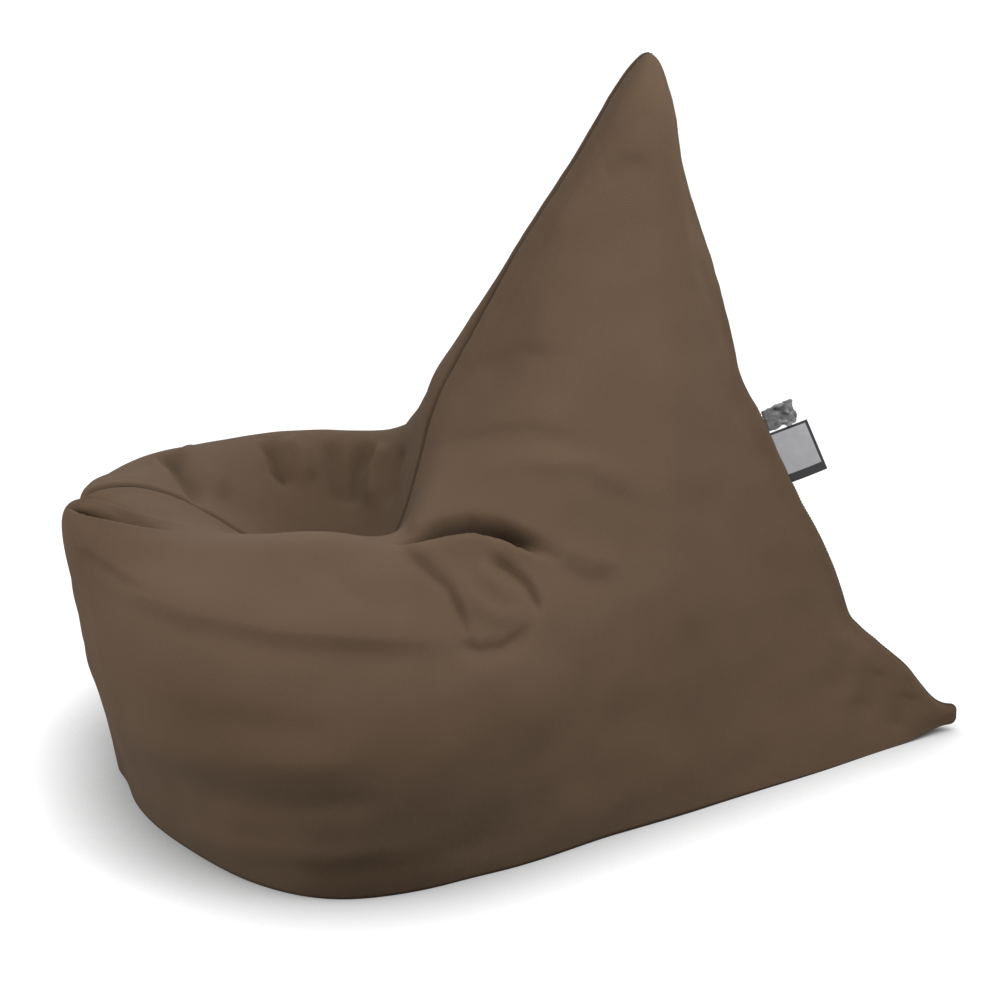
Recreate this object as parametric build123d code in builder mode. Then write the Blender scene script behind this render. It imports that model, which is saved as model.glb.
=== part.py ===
from build123d import *
import math
import os
from collections import namedtuple

# A triangle bean bag chair: two side panels sewn together along one seam that runs over the peak,
# down the backrest, through the seat, over the front lip and back along the base to the tail.
# Millimetres, Z up, the sitter faces -Y, the floor is Z = 0 and the seam lies in the plane X = 0.

os.makedirs("parts", exist_ok=True)

# Overall size of the filled bag.
BAG_WIDTH = 800.0
BAG_DEPTH = 1000.0
PEAK_HEIGHT = 786.0

# Cloth of the cover, the gap between its two panels at the seam, and what lies between the base and
# the beads on it.
COVER_CLOTH = 1.2
SEAM_GAP = 0.4
EASE = 0.3

# The bag isn't filled tight: the settled beads are this share of its size, towards this place along Y.
FILL_SHARE = 0.92
FILL_MIDDLE = -150.0

# Zip in the base: its toothed length, where its middle lies along Y, the channel that lifts it off the
# floor, and the two facings that make the channel and hold the zip.
ZIP_LENGTH = 360.0
ZIP_MIDDLE = -20.0
CHANNEL_WIDTH = 44.0
CHANNEL_DEPTH = 7.0
CHANNEL_END_ROOM = 30.0
CHANNEL_CORNER = 12.0
FACING_CLOTH = 1.0
FACING_FLANGE = 9.0
ZIP_OPENING = 13.0

# Zip tapes, teeth and stops.
TAPE_WIDTH = 15.0
TAPE_THICKNESS = 0.6
TAPE_END = 16.0
TOOTH_PITCH = 5.0
TOOTH_HEAD = 3.0
TOOTH_NECK = 1.4
TOOTH_REACH = 2.2
TOOTH_TIP_CLEARANCE = 0.2
TOOTH_THICKNESS = 3.0
BEAD_WIDTH = 2.2
STOP_LENGTH = 4.0
STOP_WIDTH = 3.0
STOP_THICKNESS = 2.6

# Zip slider, without a pull tab so that a child can't open it.
SLIDER_LENGTH = 16.0
SLIDER_TAIL_WIDTH = 10.0
SLIDER_SHOULDER_WIDTH = 11.2
SLIDER_PLATE = 1.4
SLIDER_FLANGE = 1.0
SLIDER_CORNER = 1.2
SLIDER_CROWN = 2.0
SLIDER_CROWN_WIDTH = 3.0
SLIDER_CROWN_LENGTH = 9.0
SLIDER_CROWN_WIRE = 1.0
DIAMOND_LENGTH = 6.0
DIAMOND_WIDTH = 3.0
RUNNING_CLEARANCE = 0.3

# Strap that covers the parked slider.
GARAGE_LENGTH = 24.0
GARAGE_CLOTH = 0.8
GARAGE_FOOT = 5.0
GARAGE_INSIDE_WIDTH = 18.0

# Side label and care label, sewn into the back seam.
LABEL_WIDTH = 64.0
LABEL_REACH = 45.0
LABEL_THICKNESS = 1.0
LABEL_HEIGHT = 333.0
CARE_WIDTH = 25.0
CARE_REACH = 34.0
CARE_LOOP = 8.0
CARE_RIBBON = 0.3
CARE_HEIGHT = 379.0
SEWN_DEPTH = 3.0
SEWN_CLEARANCE = 0.1

# Ribs of the filled bag from the front to the tail, drawn for a bag of the size on the next line.
# place is where a rib stands on the floor, lean tips its top forward, fall is how steeply the cloth
# leaves the seam, and tuck is how far it turns in at the floor, all three in degrees.
# top is the seam's height, brow, flank and hip are (half width, height), and foot is a half width.
DRAWN = (800.0, 1000.0, 786.0)
Rib = namedtuple("Rib", "place lean fall tuck top brow flank hip foot")
RIBS = [
    Rib(-448, 10.5, 8, 25, 290, (48, 281), (74, 250), (70, 120), 50),
    Rib(-438, 9.5, 8, 25, 316, (105, 304), (162, 256), (168, 130), 114),
    Rib(-415, 8, 8, 25, 331, (145, 314), (226, 260), (242, 142), 172),
    Rib(-372, 5, 8, 25, 324, (166, 318), (276, 272), (316, 150), 240),
    Rib(-308, 2, 8, 20, 276, (182, 321), (304, 271), (364, 150), 318),
    Rib(-215, 0, 8, 15, 222, (190, 323), (318, 268), (390, 145), 366),
    Rib(-145, 0, 8, 12, 264, (184, 321), (306, 264), (376, 142), 354),
    Rib(-95, 0, 8, 10, 424, (118, 376), (274, 266), (352, 140), 332),
    Rib(-20, 0, 8, 5, 554, (98, 455), (224, 290), (299, 147), 298),
    Rib(80, 0, 10, -2, 714, (62, 585), (152, 335), (213, 164), 246),
    Rib(140, 0, 18, -5, 786, (48, 600), (122, 335), (175, 162), 213),
    Rib(192, 0, 50, -10, 622, (35, 500), (92, 308), (140, 148), 182),
    Rib(262, 0, 60, -14, 415, (27, 338), (65, 232), (102, 111), 140),
    Rib(350, 0, 60, -18, 226, (18, 184), (40, 128), (64, 56), 89),
    Rib(430, 0, 55, -18, 98, (11, 80), (22, 56), (33, 26), 44),
    Rib(474, 0, 45, -8, 46, (8, 39), (14, 28), (18, 14), 20),
    Rib(500, 0, 30, 0, 24, (4, 21), (7, 16), (8, 9), 8),
]
# Where along a rib its points lie, from the seam to the foot.
RIB_KNOTS = [0, 0.27, 0.5, 0.76, 1]
# A rib that the surface meets at a shallow angle is drawn in by at most this many times the inset.
LARGEST_DRAW = 4.0

# Heights of the zip, worked out from the channel.
FLANGE_BASE = COVER_CLOTH + SEWN_CLEARANCE
TAPE_BASE = CHANNEL_DEPTH + FACING_CLOTH
TAPE_TOP = TAPE_BASE + TAPE_THICKNESS
CHAIN_MIDDLE = TAPE_BASE + TAPE_THICKNESS / 2
TOOTH_BASE = CHAIN_MIDDLE - TOOTH_THICKNESS / 2
STOP_BASE = CHAIN_MIDDLE - STOP_THICKNESS / 2
SLIDER_HALF_GAP = TOOTH_THICKNESS / 2 + RUNNING_CLEARANCE
SLIDER_FLANGE_HEIGHT = SLIDER_HALF_GAP - TAPE_THICKNESS / 2 - RUNNING_CLEARANCE
SLIDER_TOP = CHAIN_MIDDLE + SLIDER_HALF_GAP + SLIDER_PLATE
SLIDER_BASE = CHAIN_MIDDLE - SLIDER_HALF_GAP - SLIDER_PLATE
GARAGE_ROOF = SLIDER_BASE - SLIDER_CROWN - RUNNING_CLEARANCE
BEAD_INNER = TOOTH_REACH / 2
BEAD_OUTER = BEAD_INNER + BEAD_WIDTH

# Floor of the beads, and the room in them for the zip.
BEADS_FLOOR = COVER_CLOTH + EASE
BEADS_CHANNEL_TOP = SLIDER_TOP + EASE
BEADS_CHANNEL_GROWN = FACING_CLOTH + FACING_FLANGE + EASE

# Ends of the zip along Y. It closes towards the tail.
CHAIN_START = ZIP_MIDDLE - ZIP_LENGTH / 2
CHAIN_END = ZIP_MIDDLE + ZIP_LENGTH / 2
SLIDER_TAIL = CHAIN_END - SLIDER_LENGTH / 2
SLIDER_SHOULDER = SLIDER_TAIL + SLIDER_LENGTH
SLIDER_MIDDLE = (SLIDER_TAIL + SLIDER_SHOULDER) / 2
TOP_STOP = SLIDER_SHOULDER + RUNNING_CLEARANCE
BOTTOM_STOP = CHAIN_START - STOP_LENGTH
TAPE_START = CHAIN_START - TAPE_END
TAPE_FINISH = TOP_STOP + STOP_LENGTH + TAPE_END / 2
TAPE_LENGTH = TAPE_FINISH - TAPE_START
TAPE_MIDDLE = (TAPE_START + TAPE_FINISH) / 2
OPENING_START = BOTTOM_STOP - RUNNING_CLEARANCE
OPENING_FINISH = TOP_STOP + STOP_LENGTH + RUNNING_CLEARANCE


def rib_plane(rib, shift=0.0):
    """The plane a rib is drawn on, with its origin on the floor, moved along the bag by shift."""
    lean = math.radians(rib.lean)
    facing = (0, -math.cos(lean), -math.sin(lean))
    return Plane(origin=(0, rib.place * BAG_DEPTH / DRAWN[1] + shift, 0), x_dir=(1, 0, 0), z_dir=facing)


def rib_points(rib):
    """A rib's points on its own plane, at the bag's size, from the seam to the foot."""
    across = BAG_WIDTH / DRAWN[0]
    up = PEAK_HEIGHT / DRAWN[2]
    drawn = [(0, rib.top), rib.brow, rib.flank, rib.hip, (rib.foot, 0)]
    return [Vector(x * across, z * up) for x, z in drawn]


def outward(points, rows, i, j):
    """The direction out of the bag at point j of rib i, on that rib's plane, and its length there."""
    planes = [rib_plane(rib) for rib in RIBS]
    before, after = max(i - 1, 0), min(i + 1, len(RIBS) - 1)
    start = planes[before].from_local_coords(rows[before][j])
    finish = planes[after].from_local_coords(rows[after][j])
    around = points[min(j + 1, len(points) - 1)] - points[max(j - 1, 0)]
    around = planes[i].from_local_coords(points[j] + around) - planes[i].from_local_coords(points[j])
    normal = around.cross(finish - start).normalized()
    flat = Vector(normal.dot(planes[i].x_dir), normal.dot(planes[i].y_dir))
    return flat.normalized(), flat.length


def drawn_in(inset, floor):
    """Every rib's points, moved in by inset, or less where the bag is thin, with the foot at the floor."""
    rows = [rib_points(rib) for rib in RIBS]
    moved = []
    for i, points in enumerate(rows):
        row = []
        for j, point in enumerate(points):
            way, share = outward(points, rows, i, j)
            depth = inset * min(1 / share, LARGEST_DRAW)
            if j == 0:
                depth = min(depth / way.Y, LARGEST_DRAW * inset)
                row.append(Vector(0, point.Y - points[0].Y * (1 - math.exp(-depth / points[0].Y))))
                continue
            depth = point.X * (1 - math.exp(-depth / point.X))
            if j == len(points) - 1:
                height = floor / math.cos(math.radians(RIBS[i].lean))
                row.append(Vector(point.X - depth + height * math.tan(math.radians(RIBS[i].tuck)), height))
            else:
                row.append(point - way * depth)
        moved.append(row)
    return moved


def rib_edge(rib, points):
    """A rib from the seam over the side to its foot."""
    fall, tuck = math.radians(rib.fall), math.radians(rib.tuck)
    start_pace = (points[1] - points[0]).length / (RIB_KNOTS[1] - RIB_KNOTS[0])
    end_pace = (points[-1] - points[-2]).length / (RIB_KNOTS[-1] - RIB_KNOTS[-2])
    leaves = Vector(math.cos(fall), -math.sin(fall)) * start_pace
    lands = Vector(-math.sin(tuck), -math.cos(tuck)) * end_pace
    return Edge.make_spline(points, tangents=[leaves, lands], parameters=RIB_KNOTS, scale=False)


def half_form(inset, floor):
    """The half at +X of the room inside a surface that lies inset below the bag's outside."""
    shifts = [inset] + [0] * (len(RIBS) - 2) + [-inset]
    with BuildPart() as form:
        for rib, points, shift in zip(RIBS, drawn_in(inset, floor), shifts):
            with BuildSketch(rib_plane(rib, shift)):
                with BuildLine():
                    add(rib_edge(rib, points))
                    Polyline(points[-1], (0, points[-1].Y), points[0])
                make_face()
        loft(clean=False)
    return form.part


def sewn_half():
    """The half of the cover at +X, as cloth between two surfaces that are joined along the seam."""
    skins = []
    rims = []
    for form in (half_form(0, 0), half_form(COVER_CLOTH, COVER_CLOTH)):
        middle = form.faces().sort_by(Axis.X)[0]
        base = form.faces().sort_by(Axis.Z)[0]
        rims.append(middle.outer_wire())
        skins += [face for face in form.faces() if face not in (middle, base)]
        skins.append(Face(base.outer_wire()))
    skins.append(Face(rims[0], [rims[1]]))
    return Pos(SEAM_GAP / 2, 0, 0) * Solid(Shell(skins))


cover_half = sewn_half()

# The seam from the front lip over the peak to the tail is the longest edge along the plane X = 0.
seam = cover_half.edges().filter_by(Plane.YZ).sort_by(Edge.length)[-1]


def back_seam_plane(height):
    """A plane in the seam's own plane: x out from the back seam at this height, y up along it."""
    near_peak = 0.5
    at_tail = 1.0
    for _ in range(40):
        middle = (near_peak + at_tail) / 2
        if (seam @ middle).Z > height:
            near_peak = middle
        else:
            at_tail = middle
    along = seam % middle
    if along.Z < 0:
        along = -along
    place = seam @ middle
    return Plane(origin=(0, place.Y, place.Z), x_dir=along.cross(Vector(1, 0, 0)), z_dir=(1, 0, 0))


def half_channel(grown):
    """The outline of the zip channel's half at +X, grown by this much."""
    width = CHANNEL_WIDTH / 2 + grown
    with BuildSketch() as outline:
        with Locations((width / 2, ZIP_MIDDLE)):
            Rectangle(width, ZIP_LENGTH + 2 * (CHANNEL_END_ROOM + grown))
        fillet(outline.vertices().group_by(Axis.X)[-1], CHANNEL_CORNER + grown)
    return outline.sketch


def finish(piece, name):
    """Name a piece and write it out."""
    piece.part.label = name
    export_step(piece.part, f"parts/{name}.step")


# Side label: a folded woven tab, sewn into the back seam.
label_plane = back_seam_plane(LABEL_HEIGHT)
with BuildPart() as side_label:
    with BuildSketch(label_plane):
        with Locations(((LABEL_REACH - SEWN_DEPTH) / 2, 0)):
            Rectangle(LABEL_REACH + SEWN_DEPTH, LABEL_WIDTH)
    extrude(amount=LABEL_THICKNESS / 2, both=True)
finish(side_label, "side_label")

# Care label: a ribbon sewn in as a loop.
care_plane = back_seam_plane(CARE_HEIGHT)
care_end_plane = Plane(origin=care_plane.origin, x_dir=care_plane.x_dir, z_dir=care_plane.y_dir)
with BuildPart() as care_label:
    with BuildSketch(care_end_plane):
        with Locations((CARE_REACH - CARE_LOOP / 2, 0)):
            Circle(CARE_LOOP / 2)
        with Locations((SEWN_DEPTH, 0)):
            Circle(LABEL_THICKNESS / 2)
        make_hull()
        Rectangle(2 * SEWN_DEPTH, LABEL_THICKNESS)
        offset(amount=-CARE_RIBBON, mode=Mode.SUBTRACT)
    extrude(amount=CARE_WIDTH / 2, both=True)
finish(care_label, "care_label")

# Room in the seam for the two labels.
with BuildPart() as label_room:
    with BuildSketch(label_plane):
        Rectangle(2 * (SEWN_DEPTH + SEWN_CLEARANCE), LABEL_WIDTH + 2 * SEWN_CLEARANCE)
    extrude(amount=LABEL_THICKNESS / 2 + SEWN_CLEARANCE, both=True)
    with BuildSketch(care_plane):
        Rectangle(2 * (SEWN_DEPTH + SEWN_CLEARANCE), CARE_WIDTH + 2 * SEWN_CLEARANCE)
    extrude(amount=LABEL_THICKNESS / 2 + SEWN_CLEARANCE, both=True)

# Cover panels: the two sides of the bag, each open over its half of the zip channel.
with BuildPart() as left_cover_panel:
    add(cover_half, clean=False)
    add(half_channel(0))
    extrude(amount=2 * COVER_CLOTH, both=True, mode=Mode.SUBTRACT, clean=False)
    add(label_room.part, mode=Mode.SUBTRACT, clean=False)
finish(left_cover_panel, "left_cover_panel")

with BuildPart() as right_cover_panel:
    add(left_cover_panel.part.mirror(Plane.YZ), clean=False)
finish(right_cover_panel, "right_cover_panel")

# Bead fill: the loose beads, taken together as the settled body that they make, with room for the zip.
with BuildPart() as bead_fill:
    for rib, points in zip(RIBS, drawn_in(0, 0)):
        place = rib_plane(rib).origin.Y
        with BuildSketch(rib_plane(rib, (FILL_MIDDLE - place) * (1 - FILL_SHARE))):
            with BuildLine():
                settled = [Vector(p.X * FILL_SHARE, p.Y * FILL_SHARE + BEADS_FLOOR) for p in points]
                add(rib_edge(rib, settled))
                Line(settled[-1], (0, settled[-1].Y))
                mirror(about=Plane.YZ)
            make_face()
    loft(clean=False)
    for side in (half_channel(BEADS_CHANNEL_GROWN), half_channel(BEADS_CHANNEL_GROWN).mirror(Plane.YZ)):
        extrude(side, amount=BEADS_CHANNEL_TOP, mode=Mode.SUBTRACT, clean=False)
finish(bead_fill, "bead_fill")

# Zip facings: cloth that lies on the inside of the base, and lifts the zip off the floor.
with BuildPart() as left_zip_facing:
    with BuildSketch(Plane.XY.offset(FLANGE_BASE)):
        add(half_channel(FACING_CLOTH + FACING_FLANGE))
    extrude(amount=FACING_CLOTH)
    with BuildSketch(Plane.XY.offset(FLANGE_BASE)):
        add(half_channel(FACING_CLOTH))
    extrude(amount=TAPE_BASE - FLANGE_BASE)
    with BuildSketch(Plane.XY.offset(FLANGE_BASE)):
        add(half_channel(0))
    extrude(amount=CHANNEL_DEPTH - FLANGE_BASE, mode=Mode.SUBTRACT)
    with BuildSketch(Plane.XY.offset(CHANNEL_DEPTH)):
        with Locations((0, (OPENING_START + OPENING_FINISH) / 2)):
            Rectangle(ZIP_OPENING, OPENING_FINISH - OPENING_START)
    extrude(amount=FACING_CLOTH, mode=Mode.SUBTRACT)
finish(left_zip_facing, "left_zip_facing")

with BuildPart() as right_zip_facing:
    add(left_zip_facing.part.mirror(Plane.YZ))
finish(right_zip_facing, "right_zip_facing")

# Zip tapes, sewn down on the facings.
with BuildPart() as left_zip_tape:
    with BuildSketch(Plane.XY.offset(TAPE_BASE)):
        with Locations((BEAD_OUTER + TAPE_WIDTH / 2, TAPE_MIDDLE)):
            Rectangle(TAPE_WIDTH, TAPE_LENGTH)
    extrude(amount=TAPE_THICKNESS)
finish(left_zip_tape, "left_zip_tape")

with BuildPart() as right_zip_tape:
    add(left_zip_tape.part.mirror(Plane.YZ))
finish(right_zip_tape, "right_zip_tape")


def zip_teeth(shift):
    """One side's row of hooked teeth on the bead at its tape's edge, moved along the zip by shift."""
    count = int(ZIP_LENGTH / TOOTH_PITCH) - 1
    tip = BEAD_INNER - TOOTH_REACH + TOOTH_TIP_CLEARANCE
    with BuildPart() as row:
        with BuildSketch(Plane.XY.offset(TOOTH_BASE)):
            with Locations((BEAD_INNER + BEAD_WIDTH / 2, ZIP_MIDDLE)):
                Rectangle(BEAD_WIDTH, ZIP_LENGTH)
            with Locations((0, ZIP_MIDDLE + shift)):
                with GridLocations(1, TOOTH_PITCH, 1, count):
                    Polygon(
                        (BEAD_INNER, TOOTH_NECK / 2),
                        (tip, TOOTH_HEAD / 2),
                        (tip, -TOOTH_HEAD / 2),
                        (BEAD_INNER, -TOOTH_NECK / 2),
                        align=None,
                    )
        extrude(amount=TOOTH_THICKNESS)
    return row.part


with BuildPart() as left_zip_teeth:
    add(zip_teeth(TOOTH_PITCH / 4))
finish(left_zip_teeth, "left_zip_teeth")

with BuildPart() as right_zip_teeth:
    add(zip_teeth(-TOOTH_PITCH / 4).mirror(Plane.YZ))
finish(right_zip_teeth, "right_zip_teeth")

# Zip slider: two plates joined by the diamond that parts the teeth, with flanges that leave a slit for
# the tapes, and a low crown underneath where a key or a paper clip pulls it.
with BuildPart() as zip_slider:
    for plate_base, flange_base in (
        (SLIDER_BASE, SLIDER_BASE + SLIDER_PLATE),
        (SLIDER_TOP - SLIDER_PLATE, SLIDER_TOP - SLIDER_PLATE - SLIDER_FLANGE_HEIGHT),
    ):
        with BuildSketch(Plane.XY.offset(plate_base)) as plate:
            with BuildLine():
                Polyline(
                    (SLIDER_TAIL_WIDTH / 2, SLIDER_TAIL),
                    (SLIDER_SHOULDER_WIDTH / 2, SLIDER_SHOULDER),
                    (-SLIDER_SHOULDER_WIDTH / 2, SLIDER_SHOULDER),
                    (-SLIDER_TAIL_WIDTH / 2, SLIDER_TAIL),
                    close=True,
                )
            make_face()
            fillet(plate.vertices(), SLIDER_CORNER)
        extrude(amount=SLIDER_PLATE)
        with BuildSketch(Plane.XY.offset(flange_base)):
            add(plate.sketch.faces()[0].moved(Location((0, 0, -plate_base))))
            with BuildLine():
                Polyline(
                    (SLIDER_TAIL_WIDTH / 2 - SLIDER_FLANGE, SLIDER_TAIL),
                    (SLIDER_SHOULDER_WIDTH / 2 - SLIDER_FLANGE, SLIDER_SHOULDER),
                    (-SLIDER_SHOULDER_WIDTH / 2 + SLIDER_FLANGE, SLIDER_SHOULDER),
                    (-SLIDER_TAIL_WIDTH / 2 + SLIDER_FLANGE, SLIDER_TAIL),
                    close=True,
                )
            make_face(mode=Mode.SUBTRACT)
        extrude(amount=SLIDER_FLANGE_HEIGHT)
    with BuildSketch(Plane.XY.offset(SLIDER_BASE)):
        with BuildLine():
            Polyline(
                (0, SLIDER_SHOULDER - DIAMOND_LENGTH),
                (DIAMOND_WIDTH / 2, SLIDER_SHOULDER - DIAMOND_LENGTH / 2),
                (0, SLIDER_SHOULDER),
                (-DIAMOND_WIDTH / 2, SLIDER_SHOULDER - DIAMOND_LENGTH / 2),
                close=True,
            )
        make_face()
    extrude(amount=SLIDER_TOP - SLIDER_BASE)
    with BuildSketch(Plane.YZ):
        with Locations((SLIDER_MIDDLE, SLIDER_BASE - SLIDER_CROWN / 2)):
            Rectangle(SLIDER_CROWN_LENGTH, SLIDER_CROWN)
        with Locations((SLIDER_MIDDLE, SLIDER_BASE - (SLIDER_CROWN - SLIDER_CROWN_WIRE) / 2)):
            crown_hole = SLIDER_CROWN_LENGTH - 2 * SLIDER_CROWN_WIRE
            Rectangle(crown_hole, SLIDER_CROWN - SLIDER_CROWN_WIRE, mode=Mode.SUBTRACT)
    extrude(amount=SLIDER_CROWN_WIDTH / 2, both=True)
finish(zip_slider, "zip_slider")

# Stops: one on each tape where the zip is closed, and one over both tapes where it is open.
tape_slot = Pos(0, TAPE_MIDDLE, CHAIN_MIDDLE) * Box(2 * BAG_WIDTH, TAPE_LENGTH, TAPE_THICKNESS)
tape_slot -= Pos(0, TAPE_MIDDLE, CHAIN_MIDDLE) * Box(2 * BEAD_OUTER, TAPE_LENGTH, 2 * TAPE_THICKNESS)
with BuildPart() as zip_top_stops:
    with BuildSketch(Plane.XY.offset(STOP_BASE)):
        for side in (1, -1):
            with Locations((side * BEAD_OUTER, TOP_STOP + STOP_LENGTH / 2)):
                RectangleRounded(STOP_WIDTH, STOP_LENGTH, STOP_WIDTH / 4)
    extrude(amount=STOP_THICKNESS)
    add(tape_slot, mode=Mode.SUBTRACT)
finish(zip_top_stops, "zip_top_stops")

with BuildPart() as zip_bottom_stop:
    with BuildSketch(Plane.XY.offset(STOP_BASE)):
        with Locations((0, BOTTOM_STOP + STOP_LENGTH / 2)):
            RectangleRounded(2 * BEAD_OUTER + STOP_WIDTH, STOP_LENGTH, STOP_WIDTH / 4)
    extrude(amount=STOP_THICKNESS)
    add(tape_slot, mode=Mode.SUBTRACT)
finish(zip_bottom_stop, "zip_bottom_stop")

# Garage: a strap sewn across the channel, under which the closed zip's slider is parked.
with BuildPart() as zip_garage:
    with BuildSketch(Plane.XZ.offset(-SLIDER_MIDDLE - GARAGE_LENGTH / 2)):
        with BuildLine():
            half_inside = GARAGE_INSIDE_WIDTH / 2
            half_outside = half_inside + GARAGE_CLOTH
            Polyline(
                (0, GARAGE_ROOF),
                (half_inside, GARAGE_ROOF),
                (half_inside, CHANNEL_DEPTH),
                (half_outside + GARAGE_FOOT, CHANNEL_DEPTH),
                (half_outside + GARAGE_FOOT, CHANNEL_DEPTH - GARAGE_CLOTH),
                (half_outside, CHANNEL_DEPTH - GARAGE_CLOTH),
                (half_outside, GARAGE_ROOF - GARAGE_CLOTH),
                (0, GARAGE_ROOF - GARAGE_CLOTH),
            )
            mirror(about=Plane.YZ)
        make_face()
    extrude(amount=GARAGE_LENGTH)
finish(zip_garage, "zip_garage")
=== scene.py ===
import functools
import math
from collections import namedtuple

import bpy
import numpy as np
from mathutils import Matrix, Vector, noise


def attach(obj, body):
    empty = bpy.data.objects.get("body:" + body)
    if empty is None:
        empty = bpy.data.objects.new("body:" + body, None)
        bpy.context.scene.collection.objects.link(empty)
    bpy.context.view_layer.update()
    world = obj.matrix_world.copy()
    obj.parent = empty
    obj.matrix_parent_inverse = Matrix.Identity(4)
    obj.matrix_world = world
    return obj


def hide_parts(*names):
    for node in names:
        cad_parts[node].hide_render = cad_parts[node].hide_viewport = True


bl_info = {
    "name": "Bean bag chair",
    "version": (1, 0, 0),
    "blender": (4, 5, 0),
    "location": "View3D > Sidebar > Bean bag",
    "description": "Dresses the packed bean bag chair with cloth, seams, labels and zip",
    "category": "Object",
}

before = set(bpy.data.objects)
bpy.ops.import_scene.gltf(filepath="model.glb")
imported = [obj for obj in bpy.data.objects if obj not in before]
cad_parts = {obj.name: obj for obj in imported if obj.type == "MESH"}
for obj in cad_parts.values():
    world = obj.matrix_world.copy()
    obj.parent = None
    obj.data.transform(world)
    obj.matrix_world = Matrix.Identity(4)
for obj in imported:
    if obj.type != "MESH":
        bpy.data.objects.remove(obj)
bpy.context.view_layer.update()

MM = 0.001
BAG = "bag"

# The filled bag's ribs, in millimetres, as the solids have them: each one's place along Y, its
# angles in degrees, its points from the seam to the foot, and how far along the rib those lie.
Rib = namedtuple("Rib", "place lean fall tuck top brow flank hip foot")
RIBS = [
    Rib(-448, 10.5, 8, 25, 290, (48, 281), (74, 250), (70, 120), 50),
    Rib(-438, 9.5, 8, 25, 316, (105, 304), (162, 256), (168, 130), 114),
    Rib(-415, 8, 8, 25, 331, (145, 314), (226, 260), (242, 142), 172),
    Rib(-372, 5, 8, 25, 324, (166, 318), (276, 272), (316, 150), 240),
    Rib(-308, 2, 8, 20, 276, (182, 321), (304, 271), (364, 150), 318),
    Rib(-215, 0, 8, 15, 222, (190, 323), (318, 268), (390, 145), 366),
    Rib(-145, 0, 8, 12, 264, (184, 321), (306, 264), (376, 142), 354),
    Rib(-95, 0, 8, 10, 424, (118, 376), (274, 266), (352, 140), 332),
    Rib(-20, 0, 8, 5, 554, (98, 455), (224, 290), (299, 147), 298),
    Rib(80, 0, 10, -2, 714, (62, 585), (152, 335), (213, 164), 246),
    Rib(140, 0, 18, -5, 786, (48, 600), (122, 335), (175, 162), 213),
    Rib(192, 0, 50, -10, 622, (35, 500), (92, 308), (140, 148), 182),
    Rib(262, 0, 60, -14, 415, (27, 338), (65, 232), (102, 111), 140),
    Rib(350, 0, 60, -18, 226, (18, 184), (40, 128), (64, 56), 89),
    Rib(430, 0, 55, -18, 98, (11, 80), (22, 56), (33, 26), 44),
    Rib(474, 0, 45, -8, 46, (8, 39), (14, 28), (18, 14), 20),
    Rib(500, 0, 30, 0, 24, (4, 21), (7, 16), (8, 9), 8),
]
RIB_KNOTS = (0, 0.27, 0.5, 0.76, 1)

# The zip's channel in the base: half width, and its ends along Y, in millimetres.
CHANNEL_HALF = 22.0
CHANNEL_ENDS = (-230.0, 190.0)

# The photograph's camera: where it looks, from where, and its picture.
AIM = Vector((0.0, -0.021, 0.300))
AZIMUTH = math.radians(84)
ELEVATION = math.radians(17)
DISTANCE = 3.2
PICTURE = 1000.0
FOCAL_PIXELS = 2880.0
AIM_PIXEL = (500.0, 495.5)
SENSOR = 36.0


def camera_axes():
    """The camera's place, and its right, up and back directions."""
    back = Vector((
        math.sin(AZIMUTH) * math.cos(ELEVATION),
        -math.cos(AZIMUTH) * math.cos(ELEVATION),
        math.sin(ELEVATION),
    ))
    right = Vector((math.cos(AZIMUTH), math.sin(AZIMUTH), 0))
    return AIM + back * DISTANCE, right, back.cross(right), back


def to_picture(points):
    """Where points, in metres, fall in the photograph, in pixels."""
    place, right, up, back = (np.array(v) for v in camera_axes())
    away = points - place
    depth = -(away @ back)
    x = AIM_PIXEL[0] + FOCAL_PIXELS * (away @ right) / depth
    y = AIM_PIXEL[1] - FOCAL_PIXELS * (away @ up) / depth
    return np.stack([x, y], -1)


class Shade:
    """A socket in a material. Its arithmetic adds nodes, and node() adds one of any kind."""

    def __init__(self, tree, socket):
        self.tree = tree
        self.socket = socket

    def node(self, kind, settings=(), out=0, **sockets):
        """Add a node, set it up, feed its sockets, and return its output."""
        made = self.tree.nodes.new(kind)
        for name, value in dict(settings).items():
            setattr(made, name, value)
        for name, value in sockets.items():
            key = int(name[1:]) if name[1:].isdigit() else name.replace("_", " ")
            if isinstance(value, Shade):
                self.tree.links.new(value.socket, made.inputs[key])
            else:
                made.inputs[key].default_value = value
        return Shade(self.tree, made.outputs[out])

    def maths(self, operation, first, second):
        return self.node("ShaderNodeMath", {"operation": operation}, i0=first, i1=second)

    def __add__(self, other):
        return self.maths("ADD", self, other)

    def __sub__(self, other):
        return self.maths("SUBTRACT", self, other)

    def __rsub__(self, other):
        return self.maths("SUBTRACT", other, self)

    def __mul__(self, other):
        return self.maths("MULTIPLY", self, other)

    def __pow__(self, other):
        return self.maths("POWER", self, other)

    def above(self, edge):
        return self.maths("GREATER_THAN", self, edge)

    def axes(self):
        """The three numbers of a vector."""
        split = self.node("ShaderNodeSeparateXYZ", i0=self)
        return [Shade(self.tree, out) for out in split.socket.node.outputs]

    def threads(self, count):
        """A wave with so many threads in each metre."""
        return self.node("ShaderNodeMath", {"operation": "SINE"}, i0=self * (count * math.tau))

    def speckle(self, scale, detail, roughness=0.5):
        """Noise that lies still on the object."""
        solid = self.node("ShaderNodeTexCoord", out=3)
        return self.node(
            "ShaderNodeTexNoise", Vector=solid, Scale=scale, Detail=detail, Roughness=roughness)

    def mixed(self, low, high):
        """A colour between low and high."""
        return self.node("ShaderNodeMix", {"data_type": "RGBA"}, out=2, i0=self, i6=low, i7=high)


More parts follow.
